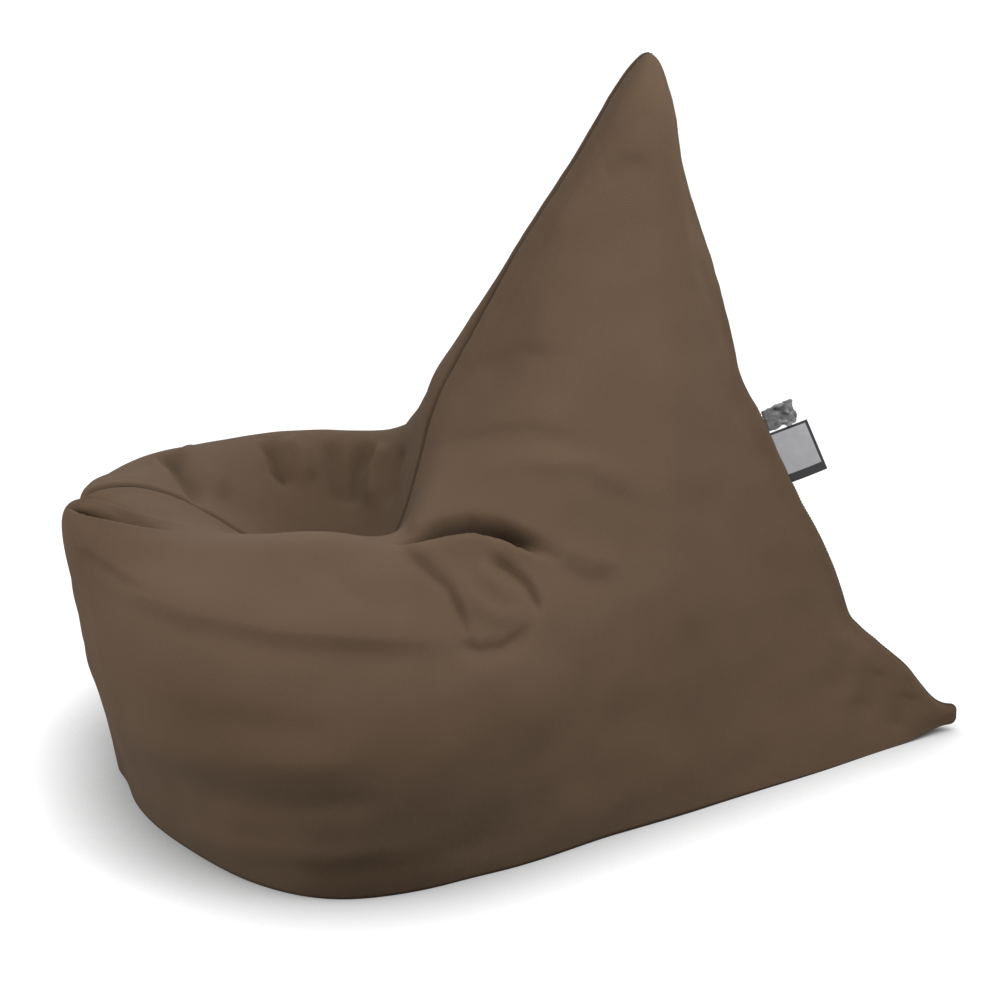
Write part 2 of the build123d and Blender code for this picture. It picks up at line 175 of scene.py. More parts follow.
def new_material(name, roughness, **inputs):
    """A material with a plain surface shader, its tree as a Shade, and the shader node."""
    material = bpy.data.materials.new(name)
    material.use_nodes = True
    tree = material.node_tree
    surface = next(n for n in tree.nodes if n.type == "BSDF_PRINCIPLED")
    for key, value in {"Roughness": roughness, **inputs}.items():
        surface.inputs[key.replace("_", " ")].default_value = value
    return material, Shade(tree, None), surface


def linked(shade, surface, name):
    """Feed one of the shader's sockets."""
    shade.tree.links.new(shade.socket, surface.inputs[name])


def bumped(surface, height, strength, distance):
    """Roughen a shader's surface by a height."""
    bump = height.node("ShaderNodeBump", Strength=strength, Distance=distance, Height=height)
    linked(bump, surface, "Normal")


def rgba(colour, share=1.0):
    """A colour with its alpha, darker or lighter by a share."""
    return tuple(c * share for c in colour) + (1.0,)


def cloth_material(name, colour, threads, depth, sheen):
    """Plain-woven cloth: two crossed sets of threads, a soft mottle, a matt sheen, and painted shade
    in its folds and along its seam.
    """
    material, shade, surface = new_material(
        name, 0.85, Sheen_Weight=sheen, Sheen_Roughness=0.5, Sheen_Tint=rgba((0.9, 0.8, 0.7)),
        Specular_IOR_Level=0.08)
    across, along, _ = shade.node("ShaderNodeUVMap", {"uv_map": "cloth"}).axes()
    weave = (across.threads(threads) * along.threads(threads)) * 0.5 + 0.5
    cloud = shade.speckle(9.0, 5.0, 0.6)
    fleck = shade.speckle(420.0, 2.0, 0.7)
    tone = (cloud - 0.5) * 0.24 + (fleck - 0.5) * 0.55 + (weave - 0.5) * 0.15 + 0.5
    cloth = tone.mixed(rgba(colour, 0.80), rgba(colour, 1.20))
    # Painted shade: the base colour darkens towards a quarter of the cloth's colour in deep folds
    # and along the seam.
    crease = shade.node("ShaderNodeAttribute", {"attribute_name": "crease"}, out=2)
    linked((crease * 0.85).mixed(cloth, rgba(colour, 0.25)), surface, "Base Color")
    height = weave * 0.7 + fleck * 0.6
    fine = shade.node("ShaderNodeBump", Strength=0.5, Distance=depth, Height=height)
    soft = shade.speckle(55.0, 3.0, 0.55)
    bump = shade.node("ShaderNodeBump", Strength=0.25, Distance=0.0015, Height=soft, Normal=fine)
    linked(bump, surface, "Normal")
    linked((fleck - 0.5) * 0.15 + 0.86, surface, "Roughness")
    return material


def cubic(knots, values, ends=None):
    """A cubic spline through values at knots, natural or with the slopes given at its ends."""
    t = np.asarray(knots, float)
    y = np.asarray(values, float)
    count = len(t)
    step = np.diff(t)
    matrix = np.zeros((count, count))
    right = np.zeros_like(y)
    for i in range(1, count - 1):
        matrix[i, i - 1:i + 2] = step[i - 1], 2 * (step[i - 1] + step[i]), step[i]
        right[i] = 6 * ((y[i + 1] - y[i]) / step[i] - (y[i] - y[i - 1]) / step[i - 1])
    if ends is None:
        matrix[0, 0] = matrix[-1, -1] = 1
    else:
        matrix[0, :2] = 2 * step[0], step[0]
        right[0] = 6 * ((y[1] - y[0]) / step[0] - ends[0])
        matrix[-1, -2:] = step[-1], 2 * step[-1]
        right[-1] = 6 * (ends[1] - (y[-1] - y[-2]) / step[-1])
    bend = np.linalg.solve(matrix, right)

    def at(places):
        k = np.clip(np.searchsorted(t, places) - 1, 0, count - 2)
        width = step[k][:, None]
        late = ((places - t[k]) / step[k])[:, None]
        early = 1 - late
        curve = (early ** 3 - early) * bend[k] + (late ** 3 - late) * bend[k + 1]
        return early * y[k] + late * y[k + 1] + curve * width ** 2 / 6

    return at


def rib_line(rib, across):
    """Points along one rib, from the seam to the foot."""
    points = np.array([(0, rib.top), rib.brow, rib.flank, rib.hip, (rib.foot, 0)], float)
    fall, tuck, lean = (math.radians(a) for a in (rib.fall, rib.tuck, rib.lean))
    pace = np.linalg.norm(np.diff(points, axis=0), axis=1) / np.diff(RIB_KNOTS)
    leaves = np.array((math.cos(fall), -math.sin(fall))) * pace[0]
    lands = np.array((-math.sin(tuck), -math.cos(tuck))) * pace[-1]
    flat = cubic(RIB_KNOTS, points, (leaves, lands))(across)
    return np.stack([
        flat[:, 0],
        rib.place - flat[:, 1] * math.sin(lean),
        flat[:, 1] * math.cos(lean),
    ], 1)


# A panel's points: rows from the front to the tail, and columns from the seam to the foot, which
# stand closer together at the seam. The base goes on from there.
ROWS = 420
COLUMNS = 200
SEAM_CROWDING = 1.25
BASE_COLUMNS = 8
# Narrower ribs that bring the cloth round to the seam at the front and at the tail: share of the
# width, how far out, and share of the height about a middle height.
FRONT_CLOSING = ((0.0, -7.0, 1.0), (0.55, -5.0, 1.0))
TAIL_CLOSING = ((0.92, 3.5, 0.95), (0.75, 7.0, 0.80), (0.45, 9.5, 0.55), (0.0, 10.5, 0.25))
TAIL_MIDDLE = 12.0
# How far the bag's twist turns the backrest's front seam to the left, as a share of a rib, and where
# along the bag that starts and fades, in millimetres.
SEAM_TURN = 0.068
TURN_STARTS = (-230, -150)
TURN_FADES = (15, -110)


def panel_grid(way):
    """A panel's side as rows of points, from the front to the tail, each from the seam to the foot.

    way is 1 for the left panel and -1 for the right one, which is drawn as if on the left."""
    fine = np.linspace(0, 1, 2 * COLUMNS)
    lines = [rib_line(rib, fine) for rib in RIBS]
    front = [lines[0] * (wide, 1, tall) + (0, out, 0) for wide, out, tall in FRONT_CLOSING]
    tail = [
        lines[-1] * (wide, 1, tall) + (0, out, TAIL_MIDDLE * (1 - tall))
        for wide, out, tall in TAIL_CLOSING
    ]
    lines = np.array(front + lines + tail)
    gaps = np.linalg.norm(np.diff(lines, axis=0), axis=2).mean(1)
    places = np.concatenate([[0], np.cumsum(gaps)])
    along = np.linspace(0, places[-1], ROWS)
    form = cubic(places, lines.reshape(len(lines), -1))(along).reshape(ROWS, -1, 3)
    form[..., 0] = np.maximum(form[..., 0], 0)
    form[..., 2] = np.maximum(form[..., 2], 0)
    form[0, :, 0] = form[-1, :, 0] = 0
    seam = form[:, 0]
    before_peak = np.arange(ROWS) < seam[:, 2].argmax()
    turn = SEAM_TURN * before_peak
    turn = turn * smooth_step(*TURN_STARTS, seam[:, 1]) * smooth_step(*TURN_FADES, seam[:, 1])
    across = np.linspace(0, 1, COLUMNS) ** SEAM_CROWDING
    grid = np.zeros((ROWS, COLUMNS, 3))
    for row in range(ROWS):
        start = way * turn[row]
        spots = start + (1 - start) * across
        for k in range(3):
            grid[row, :, k] = np.interp(np.abs(spots), fine, form[row, :, k])
        grid[row, :, 0] *= np.where(spots < 0, -1, 1)
    grid[:, 0, 0] *= np.where(turn > 0, 1, 0)
    return grid * MM


def grid_normals(grid):
    """Directions out of the left panel, at every point."""
    along = np.gradient(grid, axis=0)
    across = np.gradient(grid, axis=1)
    normal = np.cross(across, along)
    length = np.linalg.norm(normal, axis=2, keepdims=True)
    return normal / np.maximum(length, 1e-12)


def smooth_step(low, high, values):
    """From 0 at low to 1 at high, with soft ends. low may be the larger one."""
    t = np.clip((values - low) / (high - low), 0, 1)
    return t * t * (3 - 2 * t)


def to_line(points, line):
    """How far points lie from a bent line, on which side, and how far along it, from 0 to 1."""
    line = np.asarray(line, float)
    lengths = np.linalg.norm(np.diff(line, axis=0), axis=1)
    starts = np.concatenate([[0], np.cumsum(lengths)])
    best = np.full(points.shape[:-1], 1e9)
    side = np.zeros(points.shape[:-1])
    along = np.zeros(points.shape[:-1])
    for a, b, length, start in zip(line, line[1:], lengths, starts):
        way = (b - a) / length
        rel = points - a
        t = np.clip(rel @ way, 0, length)
        gap = np.linalg.norm(rel - t[..., None] * way, axis=-1)
        nearer = gap < best
        best = np.where(nearer, gap, best)
        side = np.where(nearer, np.sign(way[0] * rel[..., 1] - way[1] * rel[..., 0]), side)
        along = np.where(nearer, (start + t) / starts[-1], along)
    return best, side, along


# Folds that the photograph shows: the line in pixels, its half width on the upper side, its height
# in millimetres (a groove is negative), and its half width on the lower side.
Fold = namedtuple("Fold", "line upper height lower")
NEAR_FOLDS = [
    Fold(
        [(388, 540), (420, 536), (445, 529), (470, 526), (500, 532), (526, 543), (556, 558)],
        8, -30, 4,
    ),
    Fold([(400, 551), (450, 543), (474, 538), (505, 546), (538, 562)], 7, 5, 12),
    Fold([(396, 544), (423, 564), (448, 588), (460, 612), (470, 644)], 4, -7, 9),
    Fold([(414, 546), (440, 562), (466, 588), (486, 618)], 9, 4, 6),
    Fold([(436, 572), (466, 602), (500, 616), (532, 616)], 8, 4, 12),
    Fold([(486, 556), (508, 568), (528, 584), (539, 604), (536, 622)], 4, -8, 8),
    Fold([(474, 566), (498, 586), (514, 604)], 10, 4, 8),
    Fold([(456, 640), (480, 650), (506, 646), (534, 624)], 5, -5, 12),
    Fold([(544, 556), (566, 570), (588, 580), (616, 580)], 6, -2.5, 14),
    Fold([(560, 545), (588, 558), (622, 566)], 12, 2.5, 8),
    Fold([(84, 556), (130, 590), (190, 614), (283, 633), (380, 640), (474, 638)], 34, 9, 12),
    Fold([(77, 549), (110, 572), (152, 600)], 5, -4, 12),
    Fold([(56, 502), (90, 511), (135, 520), (178, 528)], 9, -24, 2.5),
    Fold([(90, 536), (150, 546), (220, 546), (330, 545)], 10, 3, 14),
    Fold([(300, 560), (340, 580), (372, 612)], 18, -3, 14),
    Fold([(110, 690), (180, 716), (260, 728), (350, 728)], 16, -2.5, 16),
    Fold([(120, 730), (200, 757), (290, 768), (380, 762)], 16, 2.5, 16),
    Fold([(130, 762), (210, 796), (300, 810), (400, 800)], 14, -3, 14),
    Fold([(160, 822), (240, 850), (330, 858), (430, 846)], 12, 2.5, 12),
    Fold([(430, 452), (480, 436), (530, 432), (600, 448)], 8, -3, 16),
    Fold([(462, 480), (520, 462), (590, 466), (650, 496)], 14, 3, 10),
    Fold([(470, 372), (520, 352), (575, 360)], 8, -2, 16),
    Fold([(600, 180), (622, 164), (652, 162)], 8, -2, 14),
    Fold([(690, 182), (700, 260), (724, 330), (742, 372)], 8, -2.5, 8),
    Fold([(745, 378), (732, 440), (728, 520)], 14, -2.5, 14),
    Fold([(850, 640), (842, 670), (836, 704)], 10, -2, 14),
    Fold([(866, 640), (858, 676), (846, 716)], 10, 2, 10),
    Fold([(884, 666), (876, 692), (862, 722)], 9, -2.5, 12),
    Fold([(912, 690), (906, 710), (894, 736)], 8, -3, 10),
]
FAR_FOLDS = [
    Fold([(62, 505), (90, 512), (122, 520)], 6, -9, 4),
    Fold([(150, 447), (172, 462), (188, 484), (204, 508)], 8, -12, 5),
    Fold([(176, 444), (204, 468), (230, 500)], 12, 8, 10),
    Fold([(261, 437), (271, 452), (278, 470), (294, 488)], 8, -12, 6),
    Fold([(284, 436), (302, 456), (312, 486)], 10, 8, 10),
    Fold([(330, 436), (336, 470), (344, 512)], 9, -9, 9),
    Fold([(372, 440), (358, 470), (352, 512)], 7, -11, 9),
    Fold([(388, 440), (376, 470), (372, 512)], 8, 8, 8),
    Fold([(402, 444), (392, 470), (386, 510)], 6, -8, 6),
]
# Moves of whole areas: the middle, the move and the reach, in millimetres.
Push = namedtuple("Push", "middle move reach")
BOTH_PUSHES = [
    Push((0, 141, 786), (0, 1, 6), 28),
    Push((0, -508, 284), (0, 11, -3), (60, 30, 45)),
    Push((0, 25, 600), (0, -4.5, 0), 60),
    Push((0, -50, 480), (0, 6, 0), 60),
    Push((0, -85, 405), (0, -3.5, 0), 40),
    Push((0, 180, 670), (0, -4.5, 0), 45),
    Push((0, 215, 540), (0, 7, 0), 70),
    Push((0, 252, 425), (0, -6, 0), 35),
    Push((0, 338, 240), (0, 3.5, 0), 40),
    Push((0, 385, 145), (0, -9, -6), 35),
    Push((0, 440, 75), (0, 4, 4), 30),
]
NEAR_PUSHES = BOTH_PUSHES + [
    Push((158, -478, 318), (2, -20, 52), (44, 70, 70)),
    Push((55, -470, 325), (0, 0, -12), (42, 55, 60)),
    Push((150, -470, 180), (0, -4, 0), 60),
    Push((100, -430, 60), (0, 9, 0), 80),
]
FAR_PUSHES = BOTH_PUSHES + [
    Push((-170, -260, 322), (0, 0, -12), 120),
    Push((-140, -480, 310), (0, 8, -12), 90),
]
# How strongly a fold shows on a point that faces the camera by so much, and how it fades at its two
# ends, to a share of its height.
FACING = (0.02, 0.22)
FOLD_STARTS = 0.22
FOLD_STOPS = 0.30
FOLD_END_SHARE = 0.12

# All below in millimetres, apart from shares and what says metres.
# The foot, which the bag's weight spreads: how far, up to what height, where along the bag, and how
# much less towards the tail.
SPREAD = 24.0
SPREAD_HEIGHT = 110.0
SPREAD_FROM = (-450, -310)
SPREAD_TO = (470, 300)
SPREAD_LESS = 0.6
SPREAD_LESS_FROM = (-60, 80)
SPREAD_SEAM = 20.0
# The belly on the flank below the backrest.
BELLY = 15.0
BELLY_HEIGHT = 190.0
BELLY_REACH = 95.0
BELLY_FROM = (-140, 20)
BELLY_TO = (330, 160)
# The tail's corner, which stands off the floor.
TAIL_LIFT = 9.0
TAIL_LIFT_FROM = (430, 500)
# The groove along the seam, deeper before the peak than behind it, where along the bag it changes,
# in metres, and the puckers beside it.
SEAM_GROOVE = 6.0
BACK_GROOVE = 3.5
GROOVE_CHANGE = (0.15, 0.09)
SEAM_REACH = 6.0
PUCKER = 1.2
PUCKER_REACH = 22.0
PUCKERS = 55.0
# Low swells and finer wrinkles all over. Their sizes, and how far they keep from the seam, the floor
# and the seam's ends, are in metres. The wrinkles lie at a slant.
UNEVEN = 3.2
UNEVEN_SIZE = 0.16
WRINKLE = 1.8
WRINKLE_SIZE = (0.050, 0.120, 0.045)
WRINKLE_SLANT = (0.5, 0.35)
SWELL_EDGE = (0, 0.05)
CALM_EDGE = (0.0, 0.04)
# How far from the seam the two panels are drawn together, in metres.
MEETING_REACH = 0.02
# Painted shade, which darkens the cloth's colour in a groove: from which depth to which, along the
# seam, and how wide that is, in metres, more on the backrest's low front wall.
CREASE_STARTS = 8.0
CREASE_FULL = 30.0
SEAM_SHADE = 0.95
PAINTED_SEAM_SHADE_REACH = 0.0046
LOW_WALL_PAINTED_SHADE_REACH = 0.0060
LOW_WALL_FROM = (-260, -200)
LOW_WALL_TO = (-90, -125)
LOW_WALL_HEIGHT = 0.2
# What starts the noise of each panel.
LEFT_SEED = 4.0
RIGHT_SEED = 2.0

# A panel's sewn edges.
TOP, FRONT, TAIL = range(3)


def from_edge(grid, edge):
    """How far points lie from one edge of a panel, in metres, along the cloth."""
    if edge == TOP:
        across = np.linalg.norm(np.diff(grid, axis=1), axis=2)
        return np.concatenate([np.zeros_like(across[:, :1]), np.cumsum(across, axis=1)], axis=1)
    along = np.linalg.norm(np.diff(grid, axis=0), axis=2)
    run = np.concatenate([np.zeros_like(along[:1]), np.cumsum(along, axis=0)], axis=0)
    return run if edge == FRONT else run[-1] - run


def seam_gaps(grid):
    """How far points lie from the nearest sewn edge of a panel, and which edge that is."""
    edges = np.stack([from_edge(grid, edge) for edge in (TOP, FRONT, TAIL)])
    return edges.min(0), edges.argmin(0)


def folded(grid, folds):
    """Press folds into the points that face the photograph's camera, and say how deep each lies."""
    normal = grid_normals(grid)
    to_camera = np.array(camera_axes()[0]) - grid
    to_camera /= np.linalg.norm(to_camera, axis=2, keepdims=True)
    seen = smooth_step(*FACING, (normal * to_camera).sum(2))
    pixels = to_picture(grid)
    height = np.zeros(grid.shape[:2])
    for fold in folds:
        gap, side, along = to_line(pixels, fold.line)
        width = np.where(side < 0, fold.upper, fold.lower)
        ends = smooth_step(0, FOLD_STARTS, along) * smooth_step(0, FOLD_STOPS, 1 - along)
        share = FOLD_END_SHARE + (1 - FOLD_END_SHARE) * ends
        height += fold.height * share * np.exp(-(gap / width) ** 2)
    height *= seen
    return grid + normal * (height * MM)[..., None], height


def pushed(grid, pushes):
    """Move whole areas of a panel."""
    for push in pushes:
        gap = np.linalg.norm((grid / MM - push.middle) / push.reach, axis=2)
        grid = grid + np.exp(-gap ** 2)[..., None] * np.array(push.move) * MM
    return grid


def settled(grid):
    """Spread the foot as the filling's weight does, and lift the tail's corner off the floor."""
    along = grid[..., 1] / MM
    height = grid[..., 2] / MM
    spread = smooth_step(*SPREAD_FROM, along) * smooth_step(*SPREAD_TO, along)
    spread *= 1 - SPREAD_LESS * smooth_step(*SPREAD_LESS_FROM, along)
    low = np.exp(-(height / SPREAD_HEIGHT) ** 2)
    spread = spread * (low * np.clip(grid[..., 0] / (SPREAD_SEAM * MM), 0, 1))
    belly = smooth_step(*BELLY_FROM, along) * smooth_step(*BELLY_TO, along)
    belly *= np.exp(-((height - BELLY_HEIGHT) / BELLY_REACH) ** 2)
    result = grid.copy()
    result[..., 0] += (SPREAD * spread + BELLY * belly) * MM
    result[..., 2] += TAIL_LIFT * MM * smooth_step(*TAIL_LIFT_FROM, along)
    return result


def wrinkle_place(point, seed):
    """Where a point reads the wrinkles' noise, which is drawn out along their slant."""
    x, y, z = point
    rise, fall = WRINKLE_SLANT
    turned = (x + seed, y + rise * z, z - fall * y)
    return Vector([way / size for way, size in zip(turned, WRINKLE_SIZE)])


def uneven(grid, seed):
    """The slack of a filled bag: swells and wrinkles, and short puckers that end at the seam."""
    normal = grid_normals(grid)
    gaps, _ = seam_gaps(grid)
    points = grid.reshape(-1, 3)
    start = Vector((seed, 0, 0))
    swell = [noise.fractal(Vector(p) / UNEVEN_SIZE + start, 1.0, 2.0, 3) for p in points]
    wrinkle = [noise.noise(wrinkle_place(p, seed)) for p in points]
    pucker = [noise.noise(Vector((p[1], p[2], seed * 0.01)) * PUCKERS) for p in points]
    swell, wrinkle, pucker = (np.array(v).reshape(gaps.shape) for v in (swell, wrinkle, pucker))
    height = (UNEVEN * swell + WRINKLE * wrinkle) * smooth_step(*SWELL_EDGE, gaps)
    height += PUCKER * pucker * np.exp(-(gaps / (PUCKER_REACH * MM)))
    deeper = smooth_step(*GROOVE_CHANGE, grid[..., 1])
    groove = BACK_GROOVE + (SEAM_GROOVE - BACK_GROOVE) * deeper
    height -= groove * np.exp(-(gaps / (SEAM_REACH * MM)) ** 2)
    calm = smooth_step(*CALM_EDGE, grid[..., 2])
    for end in (grid[0, 0], grid[-1, 0]):
        calm *= smooth_step(*CALM_EDGE, np.linalg.norm(grid - end, axis=2))
    return grid + normal * (height * calm * MM)[..., None]


def painted_fold_and_seam_shade(bare, depth, gaps):
    """How much painted shade darkens each point of a panel, from 0 to 1, in its folds and along its
    seam.
    """
    seam = bare[:, :1, 1] / MM
    low_wall = smooth_step(*LOW_WALL_TO, seam) * smooth_step(*LOW_WALL_FROM, seam)
    low_wall = low_wall * (bare[:, :1, 2] > LOW_WALL_HEIGHT)
    reach = PAINTED_SEAM_SHADE_REACH + LOW_WALL_PAINTED_SHADE_REACH * low_wall
    crease = np.clip((-depth - CREASE_STARTS) / (CREASE_FULL - CREASE_STARTS), 0, 1)
    return np.clip(crease + SEAM_SHADE * np.exp(-(gaps / reach) ** 2), 0, 1)


@functools.lru_cache(maxsize=None)
def shaped_panels():
    """Both panels' points, in place and meeting at the seam, with the painted shade of their folds
    and seam.
    """
    mirror = np.array((-1, 1, 1))
    plain = [settled(panel_grid(way)) for way in (1, -1)]
    left, left_depth = folded(pushed(uneven(plain[0], LEFT_SEED), NEAR_PUSHES), NEAR_FOLDS)
    right = pushed(uneven(plain[1], RIGHT_SEED) * mirror, FAR_PUSHES)
    right, right_depth = folded(right[:, ::-1], FAR_FOLDS)
    right, right_depth = right[:, ::-1], right_depth[:, ::-1]
    meeting = (left + right) / 2
    meeting[0, :, 0] = meeting[-1, :, 0] = 0
    made = []
    for panel, depth, bare in ((left, left_depth, plain[0]), (right, right_depth, plain[1])):
        gaps, nearest = seam_gaps(bare)
        nearest = nearest[..., None]
        off = meeting - panel
        move = np.where(nearest == TOP, off[:, :1], np.where(nearest == FRONT, off[:1], off[-1:]))
        panel = panel + move * np.exp(-(gaps / MEETING_REACH) ** 2)[..., None]
        panel[..., 2] = np.maximum(panel[..., 2], 0)
        panel[:, -1, 2] = bare[:, -1, 2]
        made.append((panel, painted_fold_and_seam_shade(bare, depth, gaps)))
    return made


def with_base(grid):
    """Add the base to a panel: from the foot to the middle, or to the edge of the zip's channel."""
    foot = grid[:, -1]
    channel = (foot[:, 1] > CHANNEL_ENDS[0] * MM) & (foot[:, 1] < CHANNEL_ENDS[1] * MM)
    inner = foot.copy()
    inner[:, 0] = np.where(channel, np.sign(foot[:, 0]) * CHANNEL_HALF * MM, 0)
    shares = np.linspace(0, 1, BASE_COLUMNS + 1)[1:]
    base = foot[:, None] + (inner - foot)[:, None] * shares[None, :, None]
    return np.concatenate([grid, base], axis=1)


def new_object(name, points, faces):
    """A smooth mesh, in the scene."""
    mesh = bpy.data.meshes.new(name)
    mesh.from_pydata([tuple(p) for p in points], [], faces)
    mesh.validate()
    mesh.update()
    mesh.polygons.foreach_set("use_smooth", [True] * len(mesh.polygons))
    made = bpy.data.objects.new(name, mesh)
    bpy.context.scene.collection.objects.link(made)
    return made


def only(obj):
    """Select one object, and make it the active one."""
    bpy.ops.object.select_all(action="DESELECT")
    obj.select_set(True)
    bpy.context.view_layer.objects.active = obj


def apply_modifier(obj, kind, **settings):
    """Add a modifier, set it up, and apply it."""
    only(obj)
    modifier = obj.modifiers.new(kind.title(), kind)
    for name, value in settings.items():
        setattr(modifier, name, value)
    bpy.ops.object.modifier_apply(modifier=modifier.name)


def weld(obj, distance):
    """Merge the points that lie on each other."""
    only(obj)
    bpy.ops.object.mode_set(mode="EDIT")
    bpy.ops.mesh.select_all(action="SELECT")
    bpy.ops.mesh.remove_doubles(threshold=distance)
    bpy.ops.object.mode_set(mode="OBJECT")


def grid_faces(rows, columns, turned):
    """The faces of a grid of points, turned over or not."""
    quads = []
    for i in range(rows - 1):
        for j in range(columns - 1):
            a = i * columns + j
            quad = (a, a + 1, a + columns + 1, a + columns)
            quads.append(quad[::-1] if turned else quad)
    return quads


def add_cloth_map(obj, flat):
    """Give a sheet its map for the weave: each point's place on the flat cloth, in metres."""
    layer = obj.data.uv_layers.new(name="cloth")
    corners = np.zeros(len(obj.data.loops), int)
    obj.data.loops.foreach_get("vertex_index", corners)
    layer.data.foreach_set("uv", flat.reshape(-1, 2)[corners].reshape(-1))


def finished(obj, material, slot, *nodes):
    """Give a piece of the bag its material, and the CAD nodes that it replaces. The slot is not
    used.
    """
    obj.data.materials.clear()
    obj.data.materials.append(material)
    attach(obj, BAG)
    if nodes:
        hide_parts(*nodes)


class CoverSettings(bpy.types.PropertyGroup):
    colour: bpy.props.FloatVectorProperty(
        name="Cloth colour", description="The cover cloth's colour", subtype="COLOR",
        default=(0.135, 0.089, 0.057), min=0, max=1)
    threads: bpy.props.FloatProperty(
        name="Threads", description="Threads in each metre of the cover cloth", default=900.0)
    thickness: bpy.props.FloatProperty(
        name="Thickness", description="The cover cloth's thickness", default=0.0012, unit="LENGTH")
    stitch_pitch: bpy.props.FloatProperty(
        name="Stitch pitch", description="From stitch to stitch", default=0.0038, unit="LENGTH")
    stitch_length: bpy.props.FloatProperty(
        name="Stitch length", description="Thread that shows in one stitch", default=0.0028,
        unit="LENGTH")
    stitch_off: bpy.props.FloatProperty(
        name="Stitch line", description="From the seam to its line of stitches", default=0.0028,
        unit="LENGTH")
    thread: bpy.props.FloatVectorProperty(
        name="Thread colour", description="The sewing thread's colour", subtype="COLOR",
        default=(0.030, 0.020, 0.013), min=0, max=1)


class LabelSettings(bpy.types.PropertyGroup):
    border: bpy.props.FloatProperty(
        name="Border", description="Width of the label's dark border", default=0.005, unit="LENGTH")
    wave: bpy.props.FloatProperty(
        name="Wave", description="How far the label bends", default=0.0014, unit="LENGTH")


class StageSettings(bpy.types.PropertyGroup):
    key: bpy.props.FloatProperty(
        name="Key light", description="Power of the light beside the camera", default=3.1,
        unit="POWER")
    front: bpy.props.FloatProperty(
        name="Front light", description="Power of the light before the chair", default=7.0,
        unit="POWER")
    back: bpy.props.FloatProperty(
        name="Back light", description="Power of the light behind the chair", default=7.5,
        unit="POWER")
    far: bpy.props.FloatProperty(
        name="Far light", description="Power of the light at the far side", default=7.5,
        unit="POWER")
    fill: bpy.props.FloatProperty(
        name="Fill", description="Strength of the light from all round", default=0.80)
    # How far the painted shadow in the floor's glow reaches round the chair.
    painted_shadow_reach: bpy.props.FloatProperty(
        name="Shadow reach", description="How far the floor darkens round the chair", default=0.12,
        unit="LENGTH")


class BEANBAG_OT_cover(bpy.types.Operator):
    """Make the two cover panels, with their folds, seam and base"""
    bl_idname = "beanbag.cover"
    bl_label = "Cover panels"

    def execute(self, context):
        settings = context.scene.bean_cover
        colour = tuple(settings.colour)
        cloth = cloth_material("cover_cloth", colour, settings.threads, depth=0.0005, sheen=0.05)
        names = ("left_panel_cloth", "right_panel_cloth")
        for (shape, crease), name in zip(shaped_panels(), names):
            points = with_base(shape)
            rows, columns = points.shape[:2]
            faces = grid_faces(rows, columns, name == names[1])
            panel = new_object(name, points.reshape(-1, 3), faces)
            add_cloth_map(panel, np.stack([from_edge(points, TOP), from_edge(points, FRONT)], -1))
            # The painted shade of the folds and the seam, kept on each point for the cloth's colour;
            # the base has none.
            base = np.zeros((rows, columns - crease.shape[1]))
            shade = panel.data.attributes.new("crease", "FLOAT", "POINT")
            shade.data.foreach_set("value", np.concatenate([crease, base], axis=1).reshape(-1))
            weld(panel, 2e-5)
            apply_modifier(panel, "SOLIDIFY", thickness=settings.thickness, offset=-1)
            finished(panel, cloth, "cover_cloth", name.replace("panel_cloth", "cover_panel"))
        return {"FINISHED"}


def along_line(at, way, line):
    """The point at some way along a line."""
    return np.array([np.interp(at, way, line[:, k]) for k in range(3)])


def stitch_line(points, off):
    """Points and normals along a panel at a given way off its seam."""
    ways = from_edge(points, TOP)
    line = [along_line(off, way, row) for way, row in zip(ways, points)]
    normal = [along_line(off, way, row) for way, row in zip(ways, grid_normals(points))]
    return np.array(line), np.array(normal)


# Where the line of stitches starts, and how far short of the seam's end it stops, in metres.
STITCHES_FROM = 0.09
STITCHES_SHORT = 0.07
# One stitch: its rings of points, the thread's half thickness, how far its middle stands off the
# cloth and how far its ends dip, in metres, and how blunt they are.
STITCH_RINGS = 5
STITCH_SIDES = 6
THREAD_HALF = 0.0006
STITCH_LIFT = 0.0005
STITCH_DIP = 0.0006
STITCH_TIP = 1.06


def stitch_points(centre, length, way, line, out):
    """Rings of points round one stitch, which dips into the cloth at both ends."""
    points = []
    for t in np.linspace(-1, 1, STITCH_RINGS):
        at = centre + t * length / 2
        middle = along_line(at, way, line)
        up = along_line(at, way, out)
        ahead = along_line(at + 1e-4, way, line) - middle
        up /= np.linalg.norm(up)
        ahead /= np.linalg.norm(ahead)
        aside = np.cross(ahead, up)
        middle = middle + up * (STITCH_LIFT - STITCH_DIP * t * t)
        thick = THREAD_HALF * math.sqrt(STITCH_TIP - t * t)
        for turn in np.arange(STITCH_SIDES) * (math.tau / STITCH_SIDES):
            points.append(middle + (aside * math.cos(turn) + up * math.sin(turn)) * thick)
    return points


def stitch_faces(start):
    """The faces of one stitch, whose points begin at a number."""
    sides = range(STITCH_SIDES)
    faces = []
    for ring in range(STITCH_RINGS - 1):
        first = start + ring * STITCH_SIDES
        for k in sides:
            a, b = first + k, first + (k + 1) % STITCH_SIDES
            faces.append((a, b, b + STITCH_SIDES, a + STITCH_SIDES))
    last = start + (STITCH_RINGS - 1) * STITCH_SIDES
    return faces + [tuple(start + k for k in reversed(sides)), tuple(last + k for k in sides)]


